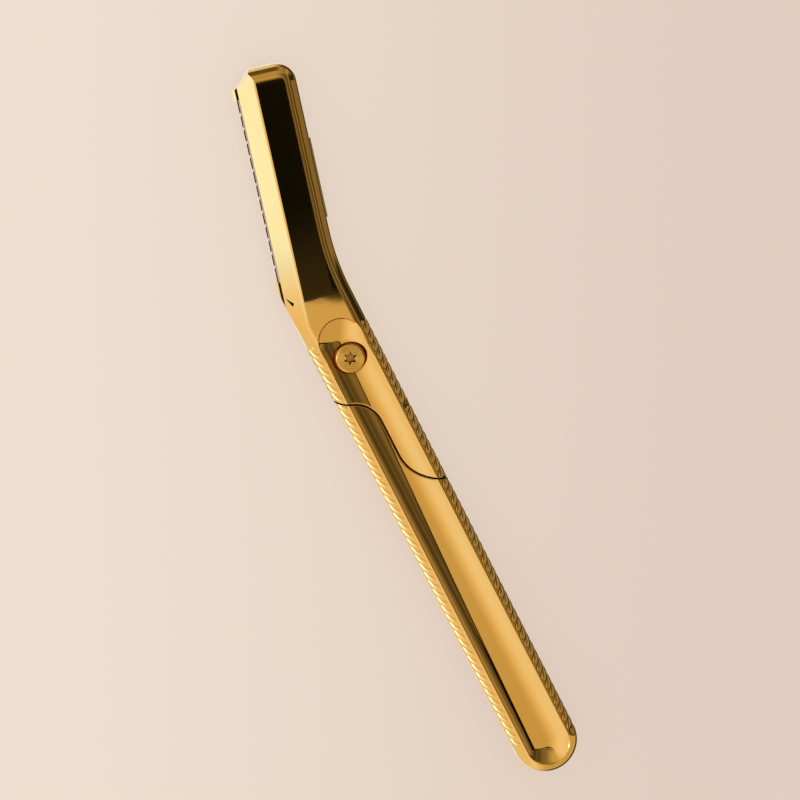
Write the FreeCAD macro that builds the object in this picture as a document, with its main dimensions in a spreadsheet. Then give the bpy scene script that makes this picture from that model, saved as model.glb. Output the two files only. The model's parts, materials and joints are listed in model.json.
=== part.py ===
"""Eyebrow razor that holds half of a snapped double-edge blade between two jaws.

The rear jaw and the handle are one casting. The front jaw swings about the pivot screw: its thumb
tail, below an S-shaped seam, moves to the right while the front of the head moves off the blade to
the left. The razor lies on its flat back, which is z = 0, with its front face up. The origin is
where the pivot axis meets the back, +Y runs up the handle to the head, and the head leans to +X.
Sizes are millimetres and degrees.
"""

import FreeCAD
import Part
import Sketcher

import math
import os

DIMENSIONS = {
    # Handle and head blank
    "thickness": 7.0,
    "handle_width": 13.4,
    "handle_length": 97.0,
    "edge_radius": 2.6,
    "neck_radius": 50.0,
    "head_lean": 14.5,
    "head_reach": 60.3,
    "head_spine": 1.8,
    "head_corner": 3.9,
    "bend_radius": 8.0,
    # Hollow along the front of the handle
    "hollow_radius": 14.0,
    "hollow_width": 9.3,
    "hollow_top": 8.6,
    "hollow_margin": 1.9,
    "rim_step": 0.15,
    "rim_slope": 45.0,
    # Parting of the two jaws
    "parting": 3.5,
    "parting_gap": 0.15,
    "seam_gap": 0.36,
    "seam_radius": 9.5,
    "seam_bend": 6.3,
    "seam_line": -0.1,
    "tail_bend_start": 22.3,
    "tail_bend": 9.0,
    # Cutting side of the head
    "lip_line": 10.1,
    "lip_height": 0.3,
    "bevel_angle": 43.0,
    "bevel_round": 0.9,
    "guard_line": 10.6,
    "guard_ear": 0.5,
    "guard_span": 36.6,
    "guard_margin": 5.8,
    "guard_bottom": 2.3,
    "guard_drop": 0.25,
    "guard_ledge": 9.2,
    "back_slope_margin": 3.6,
    "ear_height": 2.1,
    "relief_drop": 3.6,
    "relief_inset": 0.3,
    "relief_width": 1.35,
    "relief_length": 1.85,
    "relief_depth": 1.2,
    "scoop_start": 7.1,
    "scoop_radius": 9.0,
    "slit_count": 12,
    "slit_width": 0.38,
    "slit_depth": 1.0,
    # Closing tab on the spine side
    "tab_offset": 10.6,
    "tab_length": 16.1,
    "tab_inner": 0.95,
    "tab_proud": 0.2,
    "tab_edge": 0.9,
    "tab_bottom": 2.0,
    "tab_top": 5.4,
    "tab_gap": 0.15,
    # Blade
    "blade_length": 43.0,
    "blade_edge": 37.2,
    "blade_width": 11.0,
    "blade_thickness": 0.1,
    "blade_reveal": 0.25,
    "blade_end_width": 7.0,
    "blade_slot_length": 33.0,
    "blade_slot_depth": 1.0,
    "notch_width": 2.7,
    "notch_depth": 2.6,
    "notch_span": 27.0,
    "pin_diameter": 2.4,
    "pin_length": 2.0,
    "pin_fit": 0.05,
    # Pivot
    "shoulder_diameter": 4.0,
    "shoulder_fit": 0.03,
    "thread_diameter": 3.0,
    "thread_end": 0.9,
    "bush_wall": 0.5,
    "screw_head_diameter": 5.8,
    "screw_head_height": 1.1,
    "screw_head_edge": 0.3,
    "socket_width": 2.6,
    "socket_depth": 0.8,
    "seat_diameter": 6.1,
    "seat_slope": 45.0,
    "seat_depth": 0.1,
    "spring_room": 0.5,
    "spring_thickness": 0.2,
    "spring_bow": 0.2,
    "washer_diameter": 9.0,
    "washer_thickness": 0.4,
    "washer_sink": 0.3,
    "ring_gap": 0.1,
    # Stop pin and its slot
    "stop_diameter": 1.6,
    "stop_circle": 5.6,
    "stop_rise": 0.9,
    "stop_gap": 0.12,
    "swing": 36.0,
    # Magnets
    "blade_magnet_diameter": 4.0,
    "blade_magnet_across": 4.5,
    "catch_magnet_diameter": 3.0,
    "catch_magnet_x": 3.4,
    "catch_magnet_y": 24.5,
    "magnet_thickness": 1.2,
    "magnet_sink": 0.05,
}

BEYOND = "5"  # how far a cutting tool runs past what it cuts
SEAM_START = "0.95"  # where the seam's swing arc starts, outside the handle, as a sine
BEVEL_FADE = "6"  # slope in degrees at which the bevel's rounding meets the front face
BEVEL_FOOT = "4"  # how far up from the pivot the bevel's tool starts, below where it has run out
RELIEF_INNER = "0.65"  # how far down its length the relief's inner corner lies
RELIEF_FOOT = "0.74"  # how far across its width the relief's lower corner lies
SOCKET_LOBES = 6
LOBE_SHARE = 0.13  # half a lobe's share of its sixth of the turn
LOBE_REACH = "0.485"  # these three are shares of the socket's width
LOBE_RADIUS = "0.12"
FLUTE_RADIUS = "0.2"

doc = FreeCAD.newDocument("eyebrow_razor")
sheet = doc.addObject("Spreadsheet::Sheet", "dims")
for row, (alias, size) in enumerate(DIMENSIONS.items(), start=1):
    sheet.set(f"A{row}", alias)
    sheet.set(f"B{row}", str(size))
    sheet.setAlias(f"B{row}", alias)
doc.recompute()


# Drawing helpers


def value(expression):
    """The number that an expression on the sheet stands for."""
    result = sheet.evalExpression(str(expression))
    return float(getattr(result, "Value", result))


def arc_centre(start, end, radius, turn):
    """Centre of the lesser arc from start to end, with turn 1 for anticlockwise and -1 for clockwise."""
    chord = end - start
    rise = math.sqrt(max(radius**2 - chord.Length**2 / 4, 0))
    side = FreeCAD.Vector(-chord.y, chord.x, 0).normalize()
    return (start + end) / 2 + side * rise * turn


def pin_value(sketch, kind, geometry, point, expression, name):
    """Hold one coordinate or radius of a sketch at an expression on the sheet."""
    number = value(expression)
    if point is None:
        rule = Sketcher.Constraint(kind, geometry, number)
    else:
        rule = Sketcher.Constraint(kind, geometry, point, number)
    sketch.renameConstraint(sketch.addConstraint(rule), name)
    sketch.setExpression(f"Constraints.{name}", str(expression))


def draw(sketch, steps):
    """Draw a closed outline. A step is (x, y) for a line to that point, or (x, y, radius, turn) for an arc."""
    corners = [FreeCAD.Vector(value(step[0]), value(step[1]), 0) for step in steps]
    first_ends = []
    last_ends = []
    for index, step in enumerate(steps):
        start = corners[index - 1]
        end = corners[index]
        if len(step) == 2:
            sketch.addGeometry(Part.LineSegment(start, end))
            first_ends.append(1)
            last_ends.append(2)
            continue
        radius = value(step[2])
        turn = step[3]
        centre = arc_centre(start, end, radius, turn)
        circle = Part.Circle(centre, FreeCAD.Vector(0, 0, 1), radius)
        angles = [math.atan2(p.y - centre.y, p.x - centre.x) for p in (start, end)][::turn]
        sketch.addGeometry(Part.ArcOfCircle(circle, *angles))
        first_ends.append(1 if turn > 0 else 2)
        last_ends.append(2 if turn > 0 else 1)
    for index, step in enumerate(steps):
        following = (index + 1) % len(steps)
        joint = Sketcher.Constraint("Coincident", index, last_ends[index], following, first_ends[following])
        sketch.addConstraint(joint)
        pin_value(sketch, "DistanceX", index, last_ends[index], step[0], f"across_{index}")
        pin_value(sketch, "DistanceY", index, last_ends[index], step[1], f"along_{index}")
        if len(step) == 4:
            pin_value(sketch, "Radius", index, None, step[2], f"radius_{index}")


def sketch_on(body, name, role, steps, offset="0"):
    """A sketch of a closed outline on one of the body's own planes, moved along its normal by offset."""
    sketch = body.newObject("Sketcher::SketchObject", name)
    plane = next(plane for plane in body.Origin.OriginFeatures if plane.Role == role)
    sketch.AttachmentSupport = [(plane, "")]
    sketch.MapMode = "FlatFace"
    sketch.setExpression("AttachmentOffset.Base.z", offset)
    draw(sketch, steps)
    return sketch


def prism(name, steps, start, length, role="XY_Plane"):
    """A body padded from an outline. On XZ_Plane the outline is (x, z) and the pad runs towards +Y."""
    body = doc.addObject("PartDesign::Body", name)
    upright = role == "XZ_Plane"
    offset = f"-({start})" if upright else start
    sketch = sketch_on(body, f"{name}_outline", role, steps, offset)
    pad = body.newObject("PartDesign::Pad", f"{name}_pad")
    pad.Profile = sketch
    pad.Reversed = upright
    pad.setExpression("Length", length)
    body.Tip = pad
    return body


def turned(name, steps):
    """A body turned about the Z axis from an outline in (radius, z)."""
    body = doc.addObject("PartDesign::Body", name)
    sketch = sketch_on(body, f"{name}_outline", "XZ_Plane", steps)
    revolution = body.newObject("PartDesign::Revolution", f"{name}_turning")
    revolution.Profile = sketch
    revolution.ReferenceAxis = (sketch, ["V_Axis"])
    revolution.Angle = 360
    body.Tip = revolution
    return body


def lean(piece):
    """Turn a piece drawn along the Y axis into the head's own direction."""
    piece.Placement = FreeCAD.Placement(FreeCAD.Vector(), FreeCAD.Rotation(FreeCAD.Vector(0, 0, -1), 1))
    piece.setExpression("Placement.Rotation.Angle", "dims.head_lean * 1 deg")
    return piece


def head_point(across, along):
    """Place of a point given across the head, positive to its spine, and along it, from the pivot."""
    x = f"(({across}) * cos(dims.head_lean) + ({along}) * sin(dims.head_lean))"
    y = f"(({along}) * cos(dims.head_lean) - ({across}) * sin(dims.head_lean))"
    return x, y


def cylinder(name, diameter, bottom, top, x="0", y="0"):
    """An upright cylinder between two heights."""
    piece = doc.addObject("Part::Cylinder", name)
    piece.setExpression("Radius", f"({diameter}) / 2")
    piece.setExpression("Height", f"({top}) - ({bottom})")
    piece.setExpression("Placement.Base.x", x)
    piece.setExpression("Placement.Base.y", y)
    piece.setExpression("Placement.Base.z", bottom)
    return piece


def cone(name, low_radius, high_radius, bottom, top, y="0"):
    """An upright cone between two heights."""
    piece = doc.addObject("Part::Cone", name)
    piece.setExpression("Radius1", low_radius)
    piece.setExpression("Radius2", high_radius)
    piece.setExpression("Height", f"({top}) - ({bottom})")
    piece.setExpression("Placement.Base.y", y)
    piece.setExpression("Placement.Base.z", bottom)
    return piece


def fused(name, *pieces):
    """The union of some pieces."""
    union = doc.addObject("Part::MultiFuse", name)
    union.Shapes = pieces
    return union


def cut(name, base, *tools):
    """A base with one or more tools taken out of it."""
    result = doc.addObject("Part::Cut", name)
    result.Base = base
    result.Tool = tools[0] if len(tools) == 1 else fused(f"{name}_tools", *tools)
    return result


def common(name, base, tool):
    """What two pieces share."""
    result = doc.addObject("Part::Common", name)
    result.Base = base
    result.Tool = tool
    return result


# Levels and places that several pieces share

HALF = "(dims.handle_width / 2)"
FRONT = "dims.thickness"
ABOVE = f"(dims.thickness + {BEYOND})"
JAW_FACE = "(dims.parting + dims.parting_gap)"
HOLLOW_SINK = (
    "(dims.hollow_radius - sqrt(dims.hollow_radius ^ 2 - (dims.hollow_width / 2) ^ 2) + dims.rim_step)"
)
SCREW_SEAT = f"(dims.thickness - {HOLLOW_SINK} - dims.seat_depth)"
WASHER_FLOOR = "(dims.parting - dims.washer_sink)"
HEAD_UNDERSIDE = f"({SCREW_SEAT} + dims.ring_gap / 2)"
SPRING_FLOOR = f"({HEAD_UNDERSIDE} - dims.spring_room)"
BUSH_BORE = "(dims.shoulder_diameter + 2 * dims.shoulder_fit)"
BUSH_OUTSIDE = f"({BUSH_BORE} + 2 * dims.bush_wall)"
EAR_LINE = "(dims.guard_line + dims.guard_ear)"
GUARD_END = "(dims.head_reach - dims.guard_margin)"
GUARD_START = f"({GUARD_END} - dims.guard_span)"
EAR_TIP = f"({GUARD_END} + dims.ear_height)"
TAB_START = f"({GUARD_START} + dims.tab_offset)"
LIP_TOP = f"({JAW_FACE} + dims.lip_height)"
BLADE_FRONT = "(dims.lip_line + dims.blade_reveal)"
BLADE_BACK = f"(dims.blade_width - {BLADE_FRONT})"
BLADE_MIDDLE = f"(({GUARD_START} + {GUARD_END}) / 2)"
PIN_ACROSS = f"({BLADE_BACK} - dims.notch_depth + dims.pin_fit + dims.pin_diameter / 2)"
MAGNET_TOP = "(dims.parting - dims.magnet_sink)"


# Blank of handle and head, before it is parted


def blank_outline():
    """Plan of the whole razor: tip, spine side, neck, head and cutting side."""
    lean_angle = "dims.head_lean"
    neck_low = (
        f"((({HALF} + dims.neck_radius) * cos({lean_angle}) - dims.neck_radius - dims.head_spine)"
        f" / sin({lean_angle}))"
    )
    neck_x = f"({HALF} + dims.neck_radius * (1 - cos({lean_angle})))"
    neck_y = f"({neck_low} + dims.neck_radius * sin({lean_angle}))"
    corner = "dims.head_corner"
    tip_centre = f"({HALF} - dims.handle_length)"
    bend_reach = f"(dims.bend_radius * tan({lean_angle} / 2))"
    bend_along = f"(({EAR_LINE} * cos({lean_angle}) - {HALF}) / sin({lean_angle}))"
    bend_y = f"({EAR_LINE} * sin({lean_angle}) + {bend_along} * cos({lean_angle}))"
    return [
        ("0", "-dims.handle_length", HALF, 1),
        (HALF, tip_centre, HALF, 1),
        (HALF, neck_low),
        (neck_x, neck_y, "dims.neck_radius", -1),
        head_point("dims.head_spine", f"dims.head_reach - {corner}"),
        (*head_point(f"dims.head_spine - {corner}", "dims.head_reach"), corner, 1),
        head_point(f"{corner} - {EAR_LINE}", "dims.head_reach"),
        (*head_point(f"-{EAR_LINE}", f"dims.head_reach - {corner}"), corner, 1),
        head_point(f"-{EAR_LINE}", f"{bend_along} + {bend_reach}"),
        (f"-{HALF}", f"{bend_y} - {bend_reach}", "dims.bend_radius", 1),
        (f"-{HALF}", tip_centre),
    ]


def make_blank():
    """The rounded bar that both halves are parted from, with the hollow and the scooped corner."""
    body = prism("blank", blank_outline(), "0", FRONT)
    pad = body.Tip
    doc.recompute()
    flats = [
        f"Face{number}"
        for number, face in enumerate(pad.Shape.Faces, start=1)
        if abs(face.normalAt(0, 0).z) > math.cos(math.radians(1))
    ]
    rounding = body.newObject("PartDesign::Fillet", "blank_rounding")
    rounding.Base = (pad, flats)
    rounding.setExpression("Radius", "min(dims.edge_radius; 0.45 * dims.thickness)")
    body.Tip = rounding

    top = "(dims.hollow_top - dims.hollow_width / 2)"
    bottom = "(dims.hollow_margin - dims.handle_length + dims.hollow_width / 2)"
    height = f"({FRONT} - {HOLLOW_SINK} + dims.hollow_radius)"
    trough = doc.addObject("Part::Cylinder", "hollow_trough")
    trough.Placement = FreeCAD.Placement(FreeCAD.Vector(), FreeCAD.Rotation(FreeCAD.Vector(1, 0, 0), 90))
    trough.setExpression("Radius", "dims.hollow_radius")
    trough.setExpression("Height", f"{top} - {bottom}")
    trough.setExpression("Placement.Base.y", top)
    trough.setExpression("Placement.Base.z", height)
    floor = f"({FRONT} - 2 * {HOLLOW_SINK})"
    low_half = f"(dims.hollow_width / 2 - 2 * {HOLLOW_SINK} / tan(dims.rim_slope))"
    high_half = f"(dims.hollow_width / 2 + {BEYOND} / tan(dims.rim_slope))"
    balls = []
    rims = [
        prism(
            "hollow_rim",
            [
                (f"-{low_half}", floor),
                (low_half, floor),
                (high_half, ABOVE),
                (f"-{high_half}", ABOVE),
            ],
            bottom,
            f"{top} - {bottom}",
            "XZ_Plane",
        )
    ]
    for name, place in (("hollow_top", top), ("hollow_bottom", bottom)):
        ball = doc.addObject("Part::Sphere", f"{name}_end")
        ball.setExpression("Radius", "dims.hollow_radius")
        ball.setExpression("Placement.Base.y", place)
        ball.setExpression("Placement.Base.z", height)
        balls.append(ball)
        rims.append(cone(f"{name}_rim", low_half, high_half, floor, ABOVE, place))
    hollow = common("hollow", fused("hollow_form", trough, *balls), fused("hollow_limit", *rims))

    outside = f"({EAR_LINE} + {BEYOND})"
    past = f"(dims.head_reach + {BEYOND})"
    scoop = prism(
        "scoop",
        [
            ("-dims.scoop_start", "dims.head_reach"),
            (f"-{EAR_LINE}", EAR_TIP, "dims.scoop_radius", -1),
            (f"-{outside}", EAR_TIP),
            (f"-{outside}", past),
            ("-dims.scoop_start", past),
        ],
        f"-{BEYOND}",
        f"{ABOVE} + {BEYOND}",
    )
    return cut("shell", body, hollow, lean(scoop))


# The two sides of the S-shaped seam


def seam_region(name, inset, bottom):
    """Everything on the front jaw's side of the seam, above a height and back from the seam by inset."""
    swing_radius = f"(dims.seam_radius - ({inset}))"
    bend = f"(dims.seam_bend + ({inset}))"
    line = f"(dims.seam_line + ({inset}))"
    tail_bend = f"(dims.tail_bend - ({inset}))"
    reach = "(dims.seam_radius + dims.seam_bend)"
    turn_sine = f"((dims.seam_bend - dims.seam_line) / {reach})"
    turn_cosine = f"sqrt(1 - {turn_sine} ^ 2)"
    wide = f"(dims.head_reach + {BEYOND})"
    left = f"({swing_radius} * {turn_sine})"
    tail_centre = "(dims.seam_line + dims.tail_bend)"
    start_x = f"({swing_radius} * {SEAM_START})"
    start_y = f"sqrt({swing_radius} ^ 2 - {start_x} ^ 2)"
    tail_end = f"(dims.tail_bend_start + sqrt({tail_bend} ^ 2 - ({tail_centre} - {HALF}) ^ 2))"
    outline = [
        (f"-{start_x}", f"-{start_y}"),
        (f"-{left}", f"-{swing_radius} * {turn_cosine}", swing_radius, 1),
        (line, f"-{reach} * {turn_cosine}", bend, -1),
        (line, "-dims.tail_bend_start"),
        (HALF, f"-{tail_end}", tail_bend, 1),
        (f"{wide}", f"-{tail_end}"),
        (wide, wide),
        (f"-{wide}", wide),
        (f"-{wide}", f"-{start_y}"),
    ]
    return prism(name, outline, bottom, f"{ABOVE} - {bottom}")


# Cutting side of the head


def bevel_slope(name, low, *rounding):
    """What lies in front of the bevel's slope, from its low corner up, with the corners of any rounding."""
    outside = f"({EAR_LINE} + {BEYOND})"
    slope_end = f"(({ABOVE} - {LIP_TOP}) / tan(dims.bevel_angle) - dims.lip_line)"
    corners = rounding or [(slope_end, ABOVE)]
    return prism(
        name,
        [*low, *corners, (f"-{outside}", ABOVE)],
        BEVEL_FOOT,
        f"dims.head_reach + {BEYOND} - {BEVEL_FOOT}",
        "XZ_Plane",
    )


def bevel_tool():
    """Takes the slope off the front jaw down to its lip. It is rounded into the front face."""
    outside = f"({EAR_LINE} + {BEYOND})"
    centre_z = f"({FRONT} - dims.bevel_round * cos({BEVEL_FADE}))"
    round_z = f"({centre_z} + dims.bevel_round * cos(dims.bevel_angle))"
    round_x = f"(({round_z} - {LIP_TOP}) / tan(dims.bevel_angle) - dims.lip_line)"
    face_x = f"({round_x} + dims.bevel_round * (sin(dims.bevel_angle) - sin({BEVEL_FADE})))"
    low = [(f"-{outside}", "0"), ("-dims.lip_line", "0"), ("-dims.lip_line", LIP_TOP)]
    rounding = [(round_x, round_z), (face_x, FRONT, "dims.bevel_round", -1), (face_x, ABOVE)]
    return lean(bevel_slope("bevel", low, *rounding))


def ear_tool():
    """Carries the bevel's slope on over the ears of the rear jaw."""
    outside = f"({EAR_LINE} + {BEYOND})"
    low = f"({LIP_TOP} - ({outside} - dims.lip_line) * tan(dims.bevel_angle))"
    return lean(bevel_slope("ear_slope", [(f"-{outside}", low)]))


def relief_tool(name, bottom):
    """Three-cornered relief at the foot of the bevel, from a height up."""
    across = "(dims.relief_inset - dims.lip_line)"
    along = f"({GUARD_START} - dims.relief_drop)"
    corners = [
        (across, along),
        (f"{across} + {RELIEF_FOOT} * dims.relief_width", f"{along} - dims.relief_length"),
        (f"{across} + dims.relief_width", f"{along} - {RELIEF_INNER} * dims.relief_length"),
    ]
    return lean(prism(name, corners, bottom, f"{ABOVE} - ({bottom})"))


def rear_tools():
    """What shapes the guard of the rear jaw: back slope, edge between the ears, ledge and slits."""
    outside = f"({EAR_LINE} + {BEYOND})"
    past = f"(dims.head_reach + {BEYOND})"
    slope_end = f"((dims.guard_bottom + {BEYOND}) / tan(dims.bevel_angle) - dims.guard_line)"
    slope_start = f"({GUARD_START} - dims.back_slope_margin)"
    back_slope = prism(
        "back_slope",
        [
            ("-dims.guard_line", "dims.guard_bottom"),
            (f"-{outside}", "dims.guard_bottom"),
            (f"-{outside}", f"-{BEYOND}"),
            (slope_end, f"-{BEYOND}"),
        ],
        slope_start,
        f"{past} - {slope_start}",
        "XZ_Plane",
    )
    edge = prism(
        "guard_edge",
        [
            ("-dims.guard_line", GUARD_START),
            ("-dims.guard_line", GUARD_END),
            (f"-{outside}", GUARD_END),
            (f"-{outside}", GUARD_START),
        ],
        f"-{BEYOND}",
        f"{ABOVE} + {BEYOND}",
    )
    ledge = prism(
        "guard_ledge",
        [
            ("-dims.guard_ledge", GUARD_START),
            ("-dims.guard_ledge", GUARD_END),
            (f"-{outside}", GUARD_END),
            (f"-{outside}", GUARD_START),
        ],
        "dims.parting - dims.guard_drop",
        f"dims.guard_drop + {BEYOND}",
    )
    slits = []
    for number in range(round(value("dims.slit_count"))):
        mouth = f"({GUARD_START} + dims.guard_span * {number + 1} / (dims.slit_count + 1))"
        half = "(dims.slit_width / sqrt(2))"
        inner = f"({mouth} + dims.slit_depth)"
        outer = f"({mouth} - {BEYOND})"
        slit = prism(
            f"slit_{number + 1}",
            [
                ("dims.slit_depth - dims.guard_line", f"{inner} - {half}"),
                ("dims.slit_depth - dims.guard_line", f"{inner} + {half}"),
                (f"-{BEYOND} - dims.guard_line", f"{outer} + {half}"),
                (f"-{BEYOND} - dims.guard_line", f"{outer} - {half}"),
            ],
            "0",
            "dims.parting",
        )
        slits.append(lean(slit))
    return [ear_tool(), lean(back_slope), lean(edge), lean(ledge), *slits]


def tab_prism(name, gap, bottom, top):
    """The closing tab on the spine side, grown by a gap for the room that the front jaw leaves it."""
    inner = f"(dims.tab_inner - ({gap}))"
    outer = f"(dims.head_spine + dims.tab_proud + ({gap}))"
    edge = f"(dims.tab_edge + ({gap}))"
    outline = [
        (inner, bottom),
        (f"{outer} - {edge}", bottom),
        (outer, f"{bottom} + {edge}", edge, 1),
        (outer, f"{top} - {edge}"),
        (f"{outer} - {edge}", top, edge, 1),
        (inner, top),
    ]
    return lean(prism(name, outline, f"({TAB_START} - ({gap}))", f"dims.tab_length + 2 * ({gap})", "XZ_Plane"))


# Pieces


def make_blade():
    """Half of a snapped double-edge blade: edge, end tabs, half slot and two notches in its back."""
    half_edge = "(dims.blade_edge / 2)"
    half_length = "(dims.blade_length / 2)"
    half_slot = "(dims.blade_slot_length / 2)"
    end_front = f"({BLADE_BACK} - dims.blade_end_width)"
    slot = f"({BLADE_BACK} - dims.blade_slot_depth)"
    notch = f"({BLADE_BACK} - dims.notch_depth)"
    near = "(dims.notch_span / 2 - dims.notch_width / 2)"
    far = "(dims.notch_span / 2 + dims.notch_width / 2)"
    upper = [
        (slot, near),
        (notch, near),
        (notch, far),
        (slot, far),
        (slot, half_slot),
        (BLADE_BACK, half_slot),
        (BLADE_BACK, half_length),
        (end_front, half_length),
        (end_front, half_edge),
        (f"-{BLADE_FRONT}", half_edge),
    ]
    lower = [(across, f"-{along}") for across, along in reversed(upper)]
    outline = [(across, f"{BLADE_MIDDLE} + ({along})") for across, along in upper + lower]
    return lean(prism("blade", outline, "dims.parting", "dims.blade_thickness"))


def make_blade_pin(name, side):
    """A pin for one notch of the blade, and the hole that it is pressed into."""
    x, y = head_point(PIN_ACROSS, f"{BLADE_MIDDLE} + {side} * dims.notch_span / 2")
    top = "(dims.parting + dims.blade_thickness)"
    bottom = f"({top} - dims.pin_length)"
    pin = cylinder(name, "dims.pin_diameter", bottom, top, x, y)
    hole = cylinder(f"{name}_hole", "dims.pin_diameter", bottom, ABOVE, x, y)
    return pin, hole


def make_screw():
    """Shoulder screw with a low head and a six-lobe socket."""
    head_top = f"({HEAD_UNDERSIDE} + dims.screw_head_height)"
    radius = "(dims.screw_head_diameter / 2)"
    screw = turned(
        "pivot_screw",
        [
            ("0", "dims.thread_end"),
            ("dims.thread_diameter / 2", "dims.thread_end"),
            ("dims.thread_diameter / 2", WASHER_FLOOR),
            ("dims.shoulder_diameter / 2", WASHER_FLOOR),
            ("dims.shoulder_diameter / 2", HEAD_UNDERSIDE),
            (radius, HEAD_UNDERSIDE),
            (radius, f"{head_top} - dims.screw_head_edge"),
            (f"{radius} - dims.screw_head_edge", head_top, "dims.screw_head_edge", 1),
            ("0", head_top),
        ],
    )
    reach = f"(dims.socket_width * {LOBE_REACH})"
    steps = []
    for number in range(SOCKET_LOBES):
        low, high = (360 / SOCKET_LOBES * (number + share) for share in (-LOBE_SHARE, LOBE_SHARE))
        flute = f"dims.socket_width * {FLUTE_RADIUS}"
        lobe = f"dims.socket_width * {LOBE_RADIUS}"
        steps.append((f"{reach} * cos({low})", f"{reach} * sin({low})", flute, -1))
        steps.append((f"{reach} * cos({high})", f"{reach} * sin({high})", lobe, 1))
    socket = screw.newObject("PartDesign::Pocket", "socket")
    socket.Profile = sketch_on(screw, "socket_outline", "XY_Plane", steps, head_top)
    socket.setExpression("Length", "dims.socket_depth")
    screw.Tip = socket
    return screw


def make_ring(name, inside, outside, bottom, top):
    """A plain ring about the pivot axis."""
    return turned(
        name,
        [
            (f"({inside}) / 2", bottom),
            (f"({outside}) / 2", bottom),
            (f"({outside}) / 2", top),
            (f"({inside}) / 2", top),
        ],
    )


def make_spring_washer():
    """A ring bent to a bow, cut from a thin curved sheet."""
    inside = f"({BUSH_BORE} + dims.ring_gap)"
    outside = "(dims.screw_head_diameter - 2 * dims.ring_gap)"
    ring = make_ring("spring_ring", inside, outside, f"{SPRING_FLOOR} - dims.spring_room", ABOVE)
    bow_radius = f"(({outside} / 2) ^ 2 / (2 * dims.spring_bow) + dims.spring_bow / 2)"
    top = f"({SPRING_FLOOR} + dims.spring_bow + dims.spring_thickness)"
    rolls = []
    for name, radius in (("bow_outside", bow_radius), ("bow_inside", f"({bow_radius} - dims.spring_thickness)")):
        roll = doc.addObject("Part::Cylinder", name)
        roll.Placement = FreeCAD.Placement(FreeCAD.Vector(), FreeCAD.Rotation(FreeCAD.Vector(0, 1, 0), 90))
        roll.setExpression("Radius", radius)
        roll.setExpression("Height", f"2 * {outside}")
        roll.setExpression("Placement.Base.x", f"-{outside}")
        roll.setExpression("Placement.Base.z", f"{top} - {bow_radius}")
        rolls.append(roll)
    return common("spring_washer", ring, cut("bowed_sheet", *rolls))


def make_magnet(name, diameter, bottom, x, y, pocket_bottom, pocket_top):
    """A disc magnet, and the pocket that it is glued into."""
    magnet = cylinder(name, diameter, bottom, f"{bottom} + dims.magnet_thickness", x, y)
    pocket = cylinder(f"{name}_pocket", diameter, pocket_bottom, pocket_top, x, y)
    return magnet, pocket


def make_stop():
    """The stop pin, its hole in the handle and its curved slot in the front jaw."""
    top = f"({JAW_FACE} + dims.stop_rise)"
    pin = cylinder("stop_pin", "dims.stop_diameter", "dims.thread_end", top, "0", "-dims.stop_circle")
    hole = cylinder("stop_hole", "dims.stop_diameter", "dims.thread_end", ABOVE, "0", "-dims.stop_circle")
    room = "(dims.stop_diameter / 2 + dims.stop_gap)"
    inner = f"(dims.stop_circle - {room})"
    outer = f"(dims.stop_circle + {room})"

    def at_far_end(radius, past):
        """A point at the end of the swing, on a radius and some way past the pin's place."""
        x = f"-({radius}) * sin(dims.swing) - ({past}) * cos(dims.swing)"
        y = f"({past}) * sin(dims.swing) - ({radius}) * cos(dims.swing)"
        return x, y

    slot = prism(
        "stop_slot",
        [
            (room, f"-{inner}"),
            ("0", f"-{inner}"),
            (*at_far_end(inner, "0"), inner, -1),
            at_far_end(inner, room),
            at_far_end(outer, room),
            at_far_end(outer, "0"),
            ("0", f"-{outer}", outer, 1),
            (room, f"-{outer}"),
        ],
        "dims.parting",
        f"{top} + dims.stop_gap - dims.parting",
    )
    return pin, hole, slot


def make_handle(shell, sockets):
    """Handle and rear jaw: the shell without the front jaw's room, its guard shaped and its tab added."""
    room = seam_region("front_room", "-dims.seam_gap / 2", "dims.parting")
    thread = cylinder("thread_hole", "dims.thread_diameter", "dims.thread_end", ABOVE)
    recess_width = "dims.washer_diameter + 2 * dims.ring_gap"
    recess = cylinder("washer_recess", recess_width, WASHER_FLOOR, ABOVE)
    relief = relief_tool("rear_relief", "dims.parting - dims.relief_depth")
    body = cut("handle_cut", shell, room, thread, recess, relief, *rear_tools(), *sockets)
    tab = tab_prism("closing_tab", "0", "dims.tab_bottom", "dims.tab_top")
    return fused("handle_body", body, tab)


def make_front_jaw(shell, sockets):
    """Front jaw with its thumb tail, bevelled down to the blade and bored for the pivot."""
    region = seam_region("front_region", "dims.seam_gap / 2", JAW_FACE)
    blank = common("front_blank", shell, region)
    bore = cylinder("bush_bore", BUSH_OUTSIDE, "0", ABOVE)
    spring_recess = cylinder("spring_recess", "dims.screw_head_diameter", SPRING_FLOOR, ABOVE)
    seat_radius = "(dims.seat_diameter / 2)"
    seat_mouth = f"({seat_radius} + ({ABOVE} - {SCREW_SEAT}) / tan(dims.seat_slope))"
    seat = cone("screw_seat", seat_radius, seat_mouth, SCREW_SEAT, ABOVE)
    notch = tab_prism("tab_notch", "dims.tab_gap", "0", "dims.tab_top + dims.tab_gap")
    relief = relief_tool("front_relief", "0")
    return cut("front_jaw", blank, bevel_tool(), relief, bore, spring_recess, seat, notch, *sockets)


# Assembly

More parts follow.
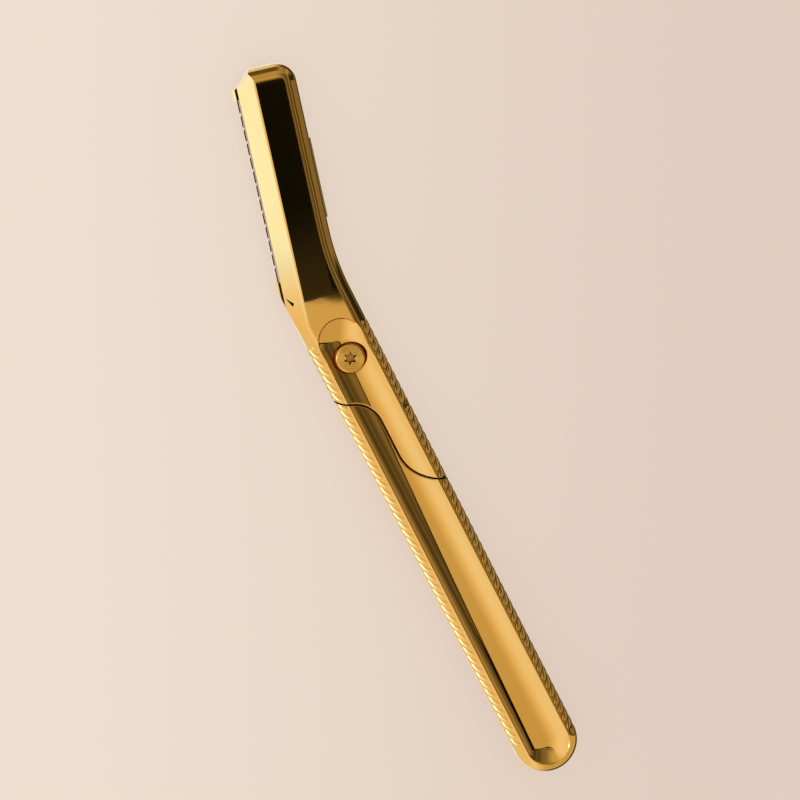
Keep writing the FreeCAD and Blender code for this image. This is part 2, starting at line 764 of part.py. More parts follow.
razor_shell = make_blank()
stop_pin, stop_hole, stop_slot = make_stop()
upper_pin, upper_hole = make_blade_pin("upper_blade_pin", "1")
lower_pin, lower_hole = make_blade_pin("lower_blade_pin", "-1")
rear_magnet_bottom = f"({MAGNET_TOP} - dims.magnet_thickness)"
blade_magnet, blade_magnet_pocket = make_magnet(
    "blade_magnet",
    "dims.blade_magnet_diameter",
    rear_magnet_bottom,
    *head_point("-dims.blade_magnet_across", BLADE_MIDDLE),
    rear_magnet_bottom,
    ABOVE,
)
catch_place = ("dims.catch_magnet_x", "-dims.catch_magnet_y")
catch_magnet, catch_pocket = make_magnet(
    "catch_magnet", "dims.catch_magnet_diameter", rear_magnet_bottom, *catch_place, rear_magnet_bottom, ABOVE
)
tail_magnet_bottom = f"({JAW_FACE} + dims.magnet_sink)"
tail_magnet, tail_pocket = make_magnet(
    "tail_magnet",
    "dims.catch_magnet_diameter",
    tail_magnet_bottom,
    *catch_place,
    "0",
    f"{tail_magnet_bottom} + dims.magnet_thickness",
)
handle_sockets = [stop_hole, upper_hole, lower_hole, blade_magnet_pocket, catch_pocket]
washer_inside = "dims.shoulder_diameter + 2 * dims.ring_gap"
pieces = [
    make_handle(razor_shell, handle_sockets),
    make_front_jaw(razor_shell, [stop_slot, tail_pocket]),
    make_screw(),
    make_ring("pivot_bush", BUSH_BORE, BUSH_OUTSIDE, JAW_FACE, SPRING_FLOOR),
    make_spring_washer(),
    make_ring(
        "thrust_washer",
        washer_inside,
        "dims.washer_diameter",
        WASHER_FLOOR,
        f"{WASHER_FLOOR} + dims.washer_thickness",
    ),
    make_blade(),
    upper_pin,
    lower_pin,
    blade_magnet,
    catch_magnet,
    tail_magnet,
    stop_pin,
]
doc.recompute()

for feature in doc.Objects:
    if {"Invalid", "Error"} & set(feature.State):
        raise RuntimeError(f"{feature.Label} did not build: {feature.State}")
for piece in pieces:
    if piece.Shape.isNull() or not piece.Shape.isValid():
        raise RuntimeError(f"{piece.Label} has no valid shape")

os.makedirs("parts", exist_ok=True)
for piece in pieces:
    solids = len(piece.Shape.Solids)
    print(f"{piece.Label}: {solids} solid, {piece.Shape.Volume:.2f} cubic mm")
    piece.Shape.exportStep(f"parts/{piece.Label}.step")
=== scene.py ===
"""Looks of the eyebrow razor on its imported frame: ridged sides, finishes, studio and camera."""

import json
import math

import bmesh
import bpy
from mathutils import Matrix, Vector


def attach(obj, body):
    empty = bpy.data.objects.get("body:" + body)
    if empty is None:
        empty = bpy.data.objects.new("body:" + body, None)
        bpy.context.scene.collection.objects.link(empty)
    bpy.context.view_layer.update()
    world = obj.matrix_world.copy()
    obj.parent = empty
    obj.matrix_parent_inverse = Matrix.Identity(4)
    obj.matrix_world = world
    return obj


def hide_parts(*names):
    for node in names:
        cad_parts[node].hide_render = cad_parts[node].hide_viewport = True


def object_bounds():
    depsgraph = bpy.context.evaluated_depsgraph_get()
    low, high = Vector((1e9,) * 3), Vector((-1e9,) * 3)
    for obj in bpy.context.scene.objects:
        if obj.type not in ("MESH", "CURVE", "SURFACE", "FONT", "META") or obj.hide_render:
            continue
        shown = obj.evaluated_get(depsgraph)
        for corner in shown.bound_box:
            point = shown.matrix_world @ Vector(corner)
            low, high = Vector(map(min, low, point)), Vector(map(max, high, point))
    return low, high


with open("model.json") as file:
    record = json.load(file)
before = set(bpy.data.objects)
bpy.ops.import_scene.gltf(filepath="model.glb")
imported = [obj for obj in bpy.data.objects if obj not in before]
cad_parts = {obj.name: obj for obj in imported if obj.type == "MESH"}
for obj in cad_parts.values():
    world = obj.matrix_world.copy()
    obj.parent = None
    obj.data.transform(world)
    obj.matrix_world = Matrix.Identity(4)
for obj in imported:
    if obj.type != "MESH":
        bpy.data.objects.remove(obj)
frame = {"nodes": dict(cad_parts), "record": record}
cad_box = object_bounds()
nodes = frame["nodes"]

MM = 0.001


class Wire:
    """One socket of a node tree. Arithmetic on it adds Math nodes to the tree."""

    def __init__(self, tree, socket=None):
        self.tree = tree
        self.socket = socket

    def node(self, kind, settings=None, sockets=None, output=0):
        """Adds a node: its settings first, then the values or links of its sockets."""
        made = self.tree.nodes.new(kind)
        for name, setting in (settings or {}).items():
            setattr(made, name, setting)
        for name, value in (sockets or {}).items():
            if isinstance(value, Wire):
                self.tree.links.new(value.socket, made.inputs[name])
            else:
                made.inputs[name].default_value = value
        return Wire(self.tree, made.outputs[output] if len(made.outputs) else None)

    def maths(self, operation, *values):
        return self.node("ShaderNodeMath", {"operation": operation}, dict(enumerate(values)))

    def __add__(self, other):
        return self.maths("ADD", self, other)

    def __radd__(self, other):
        return self.maths("ADD", other, self)

    def __sub__(self, other):
        return self.maths("SUBTRACT", self, other)

    def __rsub__(self, other):
        return self.maths("SUBTRACT", other, self)

    def __mul__(self, other):
        return self.maths("MULTIPLY", self, other)

    def __rmul__(self, other):
        return self.maths("MULTIPLY", other, self)

    def most(self, other):
        return self.maths("MAXIMUM", self, other)

    def sine(self):
        return self.maths("SINE", self)

    def smooth(self, low, high, low_value=0.0, high_value=1.0):
        """Smooth step of this value, from low_value at low to high_value at high."""
        limits = {"From Min": low, "From Max": high, "To Min": low_value, "To Max": high_value}
        settings = {"interpolation_type": "SMOOTHSTEP"}
        return self.node("ShaderNodeMapRange", settings, {"Value": self, **limits})

    def between(self, low, high):
        """Goes from the number or wire low to the number or wire high as this value goes from 0 to 1."""
        return low + self * (high - low)

    def colour(self, low, high):
        """Colour that goes from low to high as this value goes from 0 to 1."""
        return self.node("ShaderNodeMix", {"data_type": "RGBA"}, {0: self, 6: low, 7: high}, 2)

    def vector(self, low, high):
        """Vector that goes from low to high as this value goes from 0 to 1."""
        return self.node("ShaderNodeMix", {"data_type": "VECTOR"}, {0: self, 4: low, 5: high}, 1)

    def dot(self, other):
        sockets = {0: self, 1: other}
        return self.node("ShaderNodeVectorMath", {"operation": "DOT_PRODUCT"}, sockets, "Value")

    def stretched(self, x, y, z):
        """This vector with each axis multiplied."""
        return self.node("ShaderNodeVectorMath", {"operation": "MULTIPLY"}, {0: self, 1: (x, y, z)})

    def noise(self, scale, detail=2.0):
        """Noise from 0 to 1 over this vector."""
        return self.node("ShaderNodeTexNoise", {}, {"Vector": self, "Scale": scale, "Detail": detail})


def rgb(red, green, blue):
    return (red, green, blue, 1.0)


# The leaning head's own directions

HEAD_LEAN = math.radians(14.5)
HEAD_ACROSS = (math.cos(HEAD_LEAN), -math.sin(HEAD_LEAN), 0.0)
HEAD_ALONG = (math.sin(HEAD_LEAN), math.cos(HEAD_LEAN), 0.0)


# Camera, as it stood for the photograph, and the floor's directions that point up and right in it

CAMERA_TILT = math.radians(11.74)
CAMERA_PAN = math.radians(-3.59)
CAMERA_ROLL = math.radians(26.78)
CAMERA_DISTANCE = 620.6 * MM
CAMERA_AIM = Vector((5.05, -12.23, 7.0)) * MM
FOCAL_PIXELS = 3097.3
PHOTO_PIXELS = 800
SENSOR_WIDTH = 36.0

PHOTO_UP = Vector((math.sin(CAMERA_ROLL), math.cos(CAMERA_ROLL), 0.0))
PHOTO_RIGHT = Vector((math.cos(CAMERA_ROLL), -math.sin(CAMERA_ROLL), 0.0))


def make_camera():
    back = Vector((
        math.sin(CAMERA_PAN) * math.cos(CAMERA_TILT),
        math.sin(CAMERA_TILT),
        math.cos(CAMERA_PAN) * math.cos(CAMERA_TILT),
    )).normalized()
    right = PHOTO_UP.cross(back).normalized()
    up = back.cross(right)
    data = bpy.data.cameras.new("studio_camera")
    data.sensor_width = SENSOR_WIDTH
    data.lens = SENSOR_WIDTH * FOCAL_PIXELS / PHOTO_PIXELS
    data.clip_start = 0.01
    data.clip_end = 20.0
    camera = bpy.data.objects.new("studio_camera", data)
    turn = Matrix((right, up, back)).transposed().to_4x4()
    camera.matrix_world = Matrix.Translation(CAMERA_AIM + back * CAMERA_DISTANCE) @ turn
    bpy.context.collection.objects.link(camera)
    bpy.context.scene.camera = camera


# Studio

FLOOR_HALF = 4.0  # half of the floor's side, in metres
# The floor is painted lighter on the left and darker on the right: painted falloff of light from the left.
FLOOR_LIT_LEFT = rgb(0.871, 0.738, 0.631)
FLOOR_SHADED_RIGHT = rgb(0.760, 0.624, 0.533)
FLOOR_GLOW = 0.8  # share of the floor's own pale colour that the camera sees
FLOOR_FADE = 80.0 * MM  # how far to each side of the razor the floor's painted shading goes on


def clean_tree(owner):
    """The emptied node tree of a material or world, as a wire."""
    owner.use_nodes = True
    owner.node_tree.nodes.clear()
    return Wire(owner.node_tree)


def light_path(wire, *rays):
    """1 for the named kinds of ray, otherwise 0."""
    path = wire.node("ShaderNodeLightPath").socket.node
    seen = Wire(wire.tree, path.outputs[rays[0]])
    for ray in rays[1:]:
        seen = seen.most(Wire(wire.tree, path.outputs[ray]))
    return seen


def make_floor():
    mesh = bpy.data.meshes.new("studio_floor")
    turns = [(-1, -1), (1, -1), (1, 1), (-1, 1)]
    corners = [(x * FLOOR_HALF, y * FLOOR_HALF, cad_box[0].z) for x, y in turns]
    mesh.from_pydata(corners, [], [(0, 1, 2, 3)])
    floor = bpy.data.objects.new("studio_floor", mesh)
    bpy.context.collection.objects.link(floor)
    floor.visible_glossy = False
    material = bpy.data.materials.new("pale_floor")
    wire = clean_tree(material)
    place = wire.node("ShaderNodeNewGeometry", output="Position")
    # Painted falloff of light: lighter to the left, darker to the right.
    tint = place.dot(PHOTO_RIGHT).smooth(-FLOOR_FADE, FLOOR_FADE).colour(FLOOR_LIT_LEFT, FLOOR_SHADED_RIGHT)
    seen = light_path(wire, "Is Camera Ray", "Is Glossy Ray", "Is Transmission Ray")
    matte = wire.node("ShaderNodeBsdfDiffuse", {}, {"Color": tint})
    glow = wire.node("ShaderNodeEmission", {}, {"Color": tint, "Strength": 1.0})
    mixed = wire.node("ShaderNodeMixShader", {}, {0: seen * FLOOR_GLOW, 1: matte, 2: glow})
    wire.node("ShaderNodeOutputMaterial", {}, {"Surface": mixed})
    mesh.materials.append(material)


CARD_HEIGHT = 157.0 * MM
CARD_LOW, CARD_MIDDLE, CARD_HIGH = -9.0 * MM, 16.9 * MM, 46.4 * MM
CARD_LEFT, CARD_RIGHT = -26.7 * MM, 14.2 * MM
# Painted reflection: the card's faint glow, dim at its low end and darker above.
CARD_DIM = rgb(0.035, 0.03, 0.02)
CARD_DARK = rgb(0.006, 0.007, 0.006)


def make_shade_card():
    """A dark card over the head, out of the camera's sight, that its flat front mirrors: a painted dark
    reflection, with a faint glow that is lighter at the card's low end.
    """
    mesh = bpy.data.meshes.new("shade_card")
    corners = [
        (CARD_LEFT, CARD_LOW), (CARD_RIGHT, CARD_LOW), (CARD_RIGHT, CARD_HIGH), (CARD_LEFT, CARD_HIGH)]
    points = []
    for across, along in corners:
        place = across * Vector(HEAD_ACROSS) + along * Vector(HEAD_ALONG)
        points.append((place.x, place.y, CARD_HEIGHT))
    mesh.from_pydata(points, [], [(0, 1, 2, 3)])
    card = bpy.data.objects.new("shade_card", mesh)
    bpy.context.collection.objects.link(card)
    card.visible_camera = False
    card.visible_diffuse = False
    card.visible_shadow = False
    material = bpy.data.materials.new("dark_card")
    wire = clean_tree(material)
    along = wire.node("ShaderNodeNewGeometry", output="Position").dot(HEAD_ALONG)
    tint = along.smooth(CARD_LOW, CARD_MIDDLE).colour(CARD_DIM, CARD_DARK)
    glow = wire.node("ShaderNodeEmission", {}, {"Color": tint, "Strength": 1.0})
    wire.node("ShaderNodeOutputMaterial", {}, {"Surface": glow})
    mesh.materials.append(material)


# What mirrors see round the razor. Limits are parts of a unit direction: up and right as in the
# photograph, front out of the floor. Levels are strengths, of which 1 is white.

PLAIN_LIGHT = rgb(1.0, 1.0, 1.0)
WARM_SHADE = rgb(1.0, 0.8, 0.52)
COOL_WINDOW = rgb(0.58, 0.76, 1.42)
TABLE_LEFT, TABLE_RIGHT, TABLE_DIP = 1.2, 0.66, 0.14
WINDOW_LOW, WINDOW_WALL, WINDOW_SPOT = 0.9, 1.05, 4.0
SHADE_LEVEL = 0.006
ROOM_LEVEL = 0.075
STREAK_LEVEL = 0.07
STREAK_RATE = 60.0
ROOM_STEPS = (  # where a step starts and ends to the right, and what it adds to the room's level
    (0.42, 0.3, 0.12),
    (0.44, 0.465, 0.045),
    (0.475, 0.505, -0.07),
    (0.545, 0.585, 0.12),
    (0.594, 0.606, 0.17),
    (0.64, 0.68, -0.15),
)
FAR_WALL = 0.26
CEILING = 0.13


def table_level(up, right, front):
    """The bright table, with the low part of the window at its left."""
    window = up.smooth(-0.356, -0.325) * right.smooth(-0.7, -0.92) * front.smooth(0.0, 0.1)
    level = right.smooth(0.22, -0.2, TABLE_RIGHT, TABLE_LEFT) - right.smooth(-0.25, -0.36, 0.0, TABLE_DIP)
    return level + window * WINDOW_LOW


def right_room_level(wire, up, right):
    """The dim room to the right: streaks and steps, a dark band, the far wall and its dark upper corner."""
    streaks = wire.node("ShaderNodeTexNoise", {"noise_dimensions": "1D"}, {
        "W": right * STREAK_RATE, "Scale": 1.0, "Detail": 3.0, "Roughness": 0.6})
    level = ROOM_LEVEL + STREAK_LEVEL * streaks
    for start, end, change in ROOM_STEPS:
        level = level + right.smooth(start, end, 0.0, change)
    dark_band = right.smooth(0.7, 0.76) * right.smooth(0.86, 0.82)
    level = level * (1.0 - dark_band * 0.75)
    level = right.smooth(0.84, 0.9).between(level, FAR_WALL)
    dark_corner = up.smooth(0.16, 0.22) * right.smooth(0.78, 0.88)
    level = level * (1.0 - dark_corner * 0.9)
    return level + up.smooth(0.4, 0.65, 0.0, 0.2)


def room_level(wire, up, right, height):
    """The room above the table: a thin shade line at its foot, the window's wall to the left."""
    shade_line = right.smooth(0.1, 0.13, 0.004, 0.02) - right.smooth(0.17, 0.215, 0.0, 0.015)
    shade_line = shade_line + right.smooth(0.46, 0.5, 0.0, 0.02)
    middle = up.smooth(-0.1, 0.05, 0.3, 0.68) - up.smooth(0.2, 0.35, 0.0, 0.18)
    middle = (up.smooth(0.8, 0.86) * right.smooth(-0.3, -0.2)).between(middle, CEILING)
    level = right.smooth(-0.04, 0.28).between(middle, right_room_level(wire, up, right))
    level = (height - shade_line).smooth(0.0, 0.012).between(SHADE_LEVEL, level)
    return right.smooth(-0.35, -0.75).between(level, WINDOW_WALL)


def behind_level(right, front):
    """What steep sides mirror from behind the razor, and the pale floor at its outline."""
    level = right.smooth(-0.1, 0.35, 0.85, 0.06) + right.smooth(0.85, 0.95, 0.0, 0.15)
    return front.smooth(-0.65, -0.9).between(level, 1.0)


def make_world():
    """Plain light on matte surfaces. Mirrors see a bright table, a dim room and a window to the left."""
    world = bpy.data.worlds.new("studio")
    bpy.context.scene.world = world
    wire = clean_tree(world)
    direction = wire.node("ShaderNodeTexCoord", output="Generated")
    up = direction.dot(PHOTO_UP)
    right = direction.dot(PHOTO_RIGHT)
    front = direction.dot((0.0, 0.0, 1.0))

    table_edge = right.smooth(0.2, 0.44, -0.123, -0.094) + right.smooth(0.06, -0.16, 0.0, 0.1)
    table_softness = right.smooth(0.1, -0.16, 0.002, 0.35)
    height = up - table_edge
    above_table = height.smooth(0.0, table_softness)
    spot = up.smooth(-0.18, -0.12) * up.smooth(0.05, -0.02) * right.smooth(-0.94, -0.962)
    level = above_table.between(table_level(up, right, front), room_level(wire, up, right, height))
    level = level + spot * WINDOW_SPOT
    level = front.smooth(-0.1, -0.3).between(level, behind_level(right, front))

    glossy_ray = light_path(wire, "Is Glossy Ray")
    tint = level.smooth(0.6, 1.9).colour(WARM_SHADE, COOL_WINDOW)
    tint = (glossy_ray * front.smooth(-0.3, -0.1)).colour(PLAIN_LIGHT, tint)
    strength = glossy_ray.between(1.0, level)
    glow = wire.node("ShaderNodeBackground", {}, {"Color": tint, "Strength": strength})
    wire.node("ShaderNodeOutputWorld", {}, {"Surface": glow})


# Finishes, some with shade painted into their base colour


def finish(name, make_sockets):
    """A material. make_sockets works out its shader's sockets from a wire and the place on the part."""
    material = bpy.data.materials.new(name)
    wire = clean_tree(material)
    place = wire.node("ShaderNodeTexCoord", output="Object")
    shader = wire.node("ShaderNodeBsdfPrincipled", {}, make_sockets(wire, place))
    wire.node("ShaderNodeOutputMaterial", {}, {"Surface": shader})
    return material


def soft_edges(wire, radius):
    """The surface's normal, rounded only near sharp edges."""
    plain = wire.node("ShaderNodeNewGeometry", output="Normal")
    rounded = wire.node("ShaderNodeBevel", {"samples": 6}, {"Radius": radius})
    return plain.dot(rounded).smooth(0.99, 0.94).vector(plain, rounded)


def openness(wire, reach):
    """1 on open surfaces, less in valleys and 0 deep in gaps, slits and sockets; the gold finishes paint
    shade into their base colour from it.
    """
    return wire.node("ShaderNodeAmbientOcclusion", {"samples": 8}, {"Distance": reach}, "AO")


def bumped(normal, height, distance, strength):
    return normal.node("ShaderNodeBump", {}, {
        "Height": height, "Normal": normal, "Distance": distance, "Strength": strength})


GOLD = rgb(0.89, 0.572, 0.157)
GOLD_WARM = rgb(0.88, 0.538, 0.132)
# Painted shade: the next two colours darken gold in valleys and turn gaps, slits and sockets near black.
GOLD_PAINTED_SHADE = rgb(0.62, 0.27, 0.045)
GAP_SHADE = rgb(0.012, 0.008, 0.004)
STEEL_DULL = rgb(0.50, 0.50, 0.52)
STEEL_BRIGHT = rgb(0.66, 0.67, 0.69)
STEEL_GROUND = rgb(0.74, 0.75, 0.77)
PLASTIC_DIM = rgb(0.70, 0.70, 0.66)
PLASTIC_PALE = rgb(0.80, 0.80, 0.76)

SOFT_EDGE, SOFT_SEAM, SOFT_SCREW = 0.12 * MM, 0.6 * MM, 0.15 * MM  # radii of rounded edges
HOLLOW_HALF = 3.8 * MM  # the seam's edges are softer within this of the handle's middle
SEAM_LOW, SEAM_HIGH = -31.5 * MM, -6.5 * MM
# Painted shade is mostly held off the screw's seat within SEAT_RADIUS of the pivot, and kept to the socket
# within SOCKET_REACH of the screw's middle.
SEAT_RADIUS = 3.2 * MM
SOCKET_REACH = 1.9 * MM
RING_PITCH, FINE_PITCH = 0.42 * MM, 0.1 * MM  # turning marks on the screw's head
GROUND_LINE = -9.6 * MM  # where the blade's ground edge starts, across the head


def gold_sockets(wire, place):
    cloud = place.noise(70.0, 3.0)
    polish = place.stretched(1.0, 0.06, 1.0).noise(5200.0, 2.0)
    waves = place.noise(210.0, 1.0)
    tone = cloud.smooth(0.3, 0.7).colour(GOLD_WARM, GOLD)
    # Painted shade: the base colour turns deeper gold in valleys and near black in narrow gaps, by how
    # closed-in the surface is.
    free = openness(wire, 1.2 * MM)
    tone = free.smooth(0.6, 0.92).colour(GOLD_PAINTED_SHADE, tone)
    x = place.dot((1.0, 0.0, 0.0))
    y = place.dot((0.0, 1.0, 0.0))
    by_seam = (x * x).smooth((HOLLOW_HALF + 0.3 * MM) ** 2, HOLLOW_HALF ** 2)
    by_seam = by_seam * y.smooth(SEAM_LOW - MM, SEAM_LOW) * y.smooth(SEAM_HIGH + MM, SEAM_HIGH)
    # Around the screw's seat the painted shade is mostly held off.
    by_screw = (x * x + y * y).smooth((SEAT_RADIUS + 0.2 * MM) ** 2, SEAT_RADIUS ** 2)
    unshaded_share = free.smooth(0.35, 0.62).most(by_screw * 0.85)
    normal = by_seam.vector(soft_edges(wire, SOFT_EDGE), soft_edges(wire, SOFT_SEAM))
    return {
        "Base Color": unshaded_share.colour(GAP_SHADE, tone),
        "Metallic": 1.0,
        "Roughness": 0.012 + 0.012 * cloud + 0.006 * polish,
        "Normal": bumped(normal, waves, 0.002 * MM, 1.0),
    }


def screw_sockets(wire, place):
    flat = place.stretched(1.0, 1.0, 0.0)
    radius = wire.node("ShaderNodeVectorMath", {"operation": "LENGTH"}, {0: flat}, "Value")
    rings = (radius * (2.0 * math.pi / RING_PITCH)).sine()
    fine = (radius * (2.0 * math.pi / FINE_PITCH)).sine()
    height = 0.7 * rings + 0.2 * fine + 0.2 * place.noise(3000.0)
    cloud = place.noise(400.0, 3.0)
    tone = cloud.smooth(0.3, 0.7).colour(GOLD_WARM, GOLD)
    # Painted shade: deeper gold where closed-in, near black inside the socket.
    free = openness(wire, 1.6 * MM)
    tone = free.smooth(0.5, 0.85).colour(GOLD_PAINTED_SHADE, tone)
    unshaded_share = free.smooth(0.3, 0.6).most(radius.smooth(SOCKET_REACH, SOCKET_REACH + 0.2 * MM))
    return {
        "Base Color": unshaded_share.colour(GAP_SHADE, tone),
        "Metallic": 1.0,
        "Roughness": 0.06 + 0.05 * cloud,
        "Normal": bumped(soft_edges(wire, SOFT_SCREW), height, 0.012 * MM, 0.3),
    }


def metal_sockets(base, worn, roughness, grain):
    """Sockets of a plain worked metal: grain stretches the marks along each axis."""

    def sockets(wire, place):
        marks = place.stretched(*grain).noise(2500.0, 3.0)
        cloud = place.noise(350.0, 3.0)
        normal = wire.node("ShaderNodeNewGeometry", output="Normal")
        return {
            "Base Color": (0.6 * cloud + 0.4 * marks).smooth(0.3, 0.7).colour(worn, base),
            "Metallic": 1.0,
            "Roughness": roughness + 0.12 * marks + 0.06 * cloud,
            "Normal": bumped(normal, marks, 0.004 * MM, 0.4),
        }

    return sockets


def blade_sockets(wire, place):
    across = place.dot(HEAD_ACROSS)
    ground = across.smooth(GROUND_LINE - 0.15 * MM, GROUND_LINE, 1.0, 0.0)
    rolled = place.stretched(1.0, 0.05, 1.0).noise(4000.0, 3.0)
    honed = place.stretched(0.08, 1.0, 1.0).noise(9000.0, 2.0)
    marks = ground.between(rolled, honed)
    cloud = place.noise(300.0, 3.0)
    tone = (0.5 * cloud + 0.5 * marks).smooth(0.3, 0.7).colour(STEEL_DULL, STEEL_BRIGHT)
    normal = wire.node("ShaderNodeNewGeometry", output="Normal")
    return {
        "Base Color": ground.colour(tone, STEEL_GROUND),
        "Metallic": 1.0,
        "Roughness": ground.between(0.24, 0.5) + 0.1 * marks,
        "Normal": bumped(normal, marks, 0.003 * MM, 0.4),
    }


def plastic_sockets(wire, place):
    moulded = place.noise(1600.0, 3.0)
    normal = wire.node("ShaderNodeNewGeometry", output="Normal")
    return {
        "Base Color": moulded.smooth(0.3, 0.7).colour(PLASTIC_DIM, PLASTIC_PALE),
        "Roughness": 0.4 + 0.15 * moulded,
        "Normal": bumped(normal, moulded, 0.01 * MM, 0.3),
    }


FINISHES = {
    "polished_gold": gold_sockets,
    "gold_screw": screw_sockets,
    "bush_bronze": metal_sockets(rgb(0.62, 0.38, 0.17), rgb(0.47, 0.28, 0.12), 0.28, (1.0, 1.0, 0.1)),
    "spring_steel": metal_sockets(rgb(0.52, 0.52, 0.54), rgb(0.40, 0.40, 0.42), 0.2, (1.0, 0.1, 1.0)),
    "bearing_plastic": plastic_sockets,
    "blade_steel": blade_sockets,
    "pin_steel": metal_sockets(rgb(0.62, 0.62, 0.64), rgb(0.50, 0.50, 0.52), 0.18, (1.0, 1.0, 0.1)),
    "magnet_nickel": metal_sockets(rgb(0.72, 0.71, 0.68), rgb(0.60, 0.59, 0.56), 0.12, (1.0, 1.0, 1.0)),
}
materials = {name: finish(name, make_sockets) for name, make_sockets in FINISHES.items()}


# Ridged sides of the handle and of the front jaw

HALF_WIDTH = 6.7 * MM
THICKNESS = 7.0 * MM
EDGE_RADIUS = 2.6 * MM
RIDGE_PITCH = 1.98 * MM
RIDGE_DEPTH = 0.34 * MM
RIDGE_SHIFT = 0.1  # share of a pitch by which a valley lies past the frame's origin
RIDGE_TOP = 5.8 * MM
RIDGE_FOOT = {-1: -88.6 * MM, 1: -90.2 * MM}
RIDGE_END = -91.0 * MM  # below the lowest ridge of either side
RIDGE_FADE = 0.9 * MM
RIDGE_TURN = (math.radians(60.0), math.radians(74.0))  # the valleys run out between these turns of the side
SIDE_TURNS = (30.0, 52.0, 60.0, 64.0, 68.0, 72.0)  # degrees at which the side is cut lengthwise
SEAM_FADE = 0.35 * MM
SWING_ARC = (Vector((0.0, 0.0)), 9.5 * MM)
TAIL_ARC = (Vector((8.9, -22.3)) * MM, 9.0 * MM)
SEAM_HALF_GAP = 0.18 * MM
RIDGE_STEPS = (0.0, 0.07, 0.16, 0.3, 0.5, 0.7, 0.84, 0.93)
RIDGE_SLANT = Vector((0.0, 1.0, 1.0))
FACE_SLACK = 0.06 * MM
EDGE_SLACK = 0.2 * MM


def side_axis(point):
    """Nearest point on the line that the rounded side is struck from."""
    x = math.copysign(HALF_WIDTH - EDGE_RADIUS, point.x)
    z = min(max(point.z, EDGE_RADIUS), THICKNESS - EDGE_RADIUS)
    return Vector((x, point.y, z))


def on_side(point):
    spoke = point - side_axis(point)
    outward = abs(point.x) > HALF_WIDTH - EDGE_RADIUS + EDGE_SLACK
    return outward and abs(spoke.length - EDGE_RADIUS) < FACE_SLACK


def ramp(value, low, high):
    share = min(max((value - low) / (high - low), 0.0), 1.0)
    return share * share * (3.0 - 2.0 * share)


def ridge_share(point):
    """How deep the valleys are here, from 0 at the ends of the ridges to 1."""
    spoke = point - side_axis(point)
    side = 1 if point.x > 0.0 else -1
    turn = math.atan2(abs(spoke.z), abs(spoke.x))
    across = 1.0 - ramp(turn, *RIDGE_TURN)
    foot = RIDGE_FOOT[side]
    from_top = ramp(point.y, RIDGE_TOP - RIDGE_FADE, RIDGE_TOP)
    along = ramp(point.y, foot, foot + RIDGE_FADE) * (1.0 - from_top)
    centre, radius = TAIL_ARC if side > 0 else SWING_ARC
    from_seam = abs((point.xy - centre).length - radius) - SEAM_HALF_GAP
    return across * along * ramp(from_seam, 0.0, SEAM_FADE)


def ridge_phase(point):
    return point.dot(RIDGE_SLANT) / RIDGE_PITCH - RIDGE_SHIFT


def ridge_normal(point, inner_phase):
    """Outward normal of the ridged side. inner_phase tells on which flank of a valley the face lies."""
    spoke = (point - side_axis(point)).normalized()
    share = ridge_share(point)
    phase = ridge_phase(point)
    within = phase - math.floor(inner_phase)
    slope = -RIDGE_DEPTH * share * math.pi * math.cos(math.pi * within) / RIDGE_PITCH
    tilt = RIDGE_SLANT * slope
    tilt -= spoke * spoke.dot(tilt)
    return (spoke + tilt).normalized()


def ridge_depth(point):
    phase = ridge_phase(point)
    return RIDGE_DEPTH * ridge_share(point) * (1.0 - abs(math.sin(math.pi * phase)))


def cut_along(bm, faces, place, slant):
    """Cuts the faces by a plane and returns all their pieces."""
    parts = set(faces)
    for face in faces:
        parts.update(face.edges)
        parts.update(face.verts)
    made = bmesh.ops.bisect_plane(bm, geom=list(parts), dist=1e-8, plane_co=place, plane_no=slant)
    return [part for part in made["geom"] if isinstance(part, bmesh.types.BMFace)]


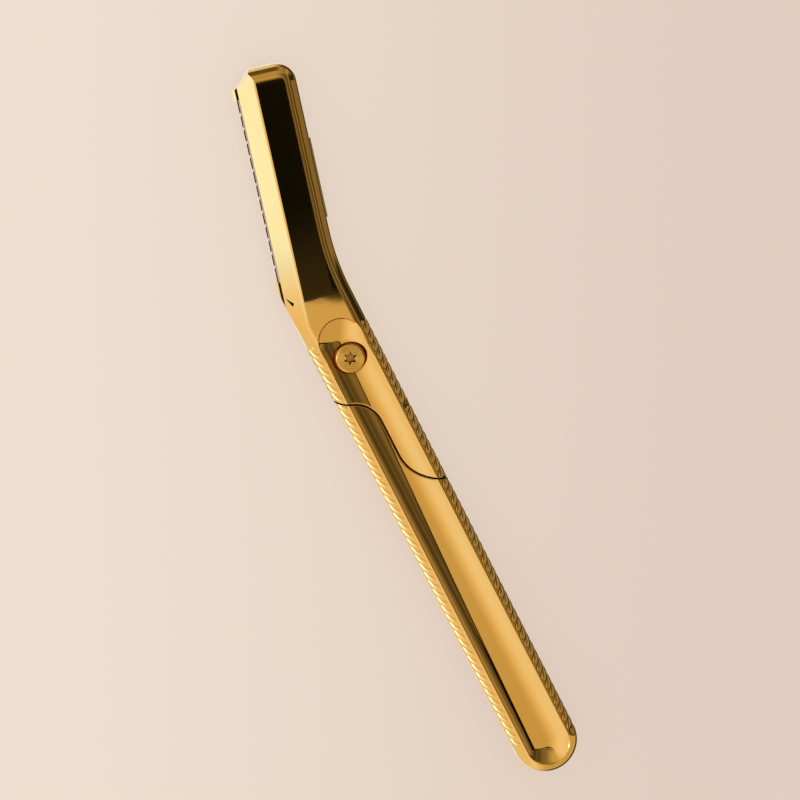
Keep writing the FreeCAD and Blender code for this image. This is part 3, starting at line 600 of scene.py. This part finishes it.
def ridge_sides(node, body, slot):
    """A finer copy of a node, with ridges cut into its sides, that stands for it."""
    source = nodes[node].data
    mesh = source.copy()
    mesh.name = f"{node}_ridged"
    kept = mesh.attributes.new("kept_normal", "FLOAT_VECTOR", "CORNER")
    kept.data.foreach_set("vector", [part for corner in source.corner_normals for part in corner.vector])
    bm = bmesh.new()
    bm.from_mesh(mesh)
    normals = bm.loops.layers.float_vector["kept_normal"]

    faces = []
    for face in bm.faces:
        points = [vert.co for vert in face.verts]
        heights = [point.y for point in points]
        reaches = min(heights) < RIDGE_TOP and max(heights) > RIDGE_END
        if reaches and all(on_side(point) for point in points) and on_side(face.calc_center_median()):
            faces.append(face)
    for degrees in SIDE_TURNS:
        rise = EDGE_RADIUS * math.sin(math.radians(degrees))
        for height in (THICKNESS - EDGE_RADIUS + rise, EDGE_RADIUS - rise):
            faces = cut_along(bm, faces, Vector((0.0, 0.0, height)), Vector((0.0, 0.0, 1.0)))

    done = []
    first = math.floor(ridge_phase(Vector((0.0, RIDGE_END, 0.0))))
    last = math.ceil(ridge_phase(Vector((0.0, RIDGE_TOP, THICKNESS))))
    for count in range(first, last + 1):
        for step in RIDGE_STEPS:
            place = Vector((0.0, (count + step + RIDGE_SHIFT) * RIDGE_PITCH, 0.0))
            ahead = []
            for face in cut_along(bm, faces, place, RIDGE_SLANT):
                passed = (face.calc_center_median() - place).dot(RIDGE_SLANT) < 0.0
                (done if passed else ahead).append(face)
            faces = ahead
    done.extend(faces)

    moved = {}
    for face in done:
        inner_phase = ridge_phase(face.calc_center_median())
        for loop in face.loops:
            point = loop.vert.co
            loop[normals] = ridge_normal(point, inner_phase)
            spoke = (point - side_axis(point)).normalized()
            moved[loop.vert] = point - spoke * ridge_depth(point)
    for vert, point in moved.items():
        vert.co = point
    bm.to_mesh(mesh)
    bm.free()
    ridged = [Vector(entry.vector) for entry in mesh.attributes["kept_normal"].data]
    mesh.normals_split_custom_set(ridged)
    mesh.attributes.remove(mesh.attributes["kept_normal"])

    piece = bpy.data.objects.new(f"{node}_ridged", mesh)
    bpy.context.collection.objects.link(piece)
    mesh.materials.clear()
    mesh.materials.append(materials[slot])
    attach(piece, body)
    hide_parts(node)


for subpart in frame["record"]["subparts"]:
    slots = nodes[subpart["node"]].data.materials
    slots.clear()
    slots.append(materials[subpart["material_slot"]])
ridge_sides("handle_body", "handle", "polished_gold")
ridge_sides("front_jaw", "jaw", "polished_gold")

make_camera()
make_floor()
make_shade_card()
make_world()
bpy.context.scene.view_settings.view_transform = "Standard"
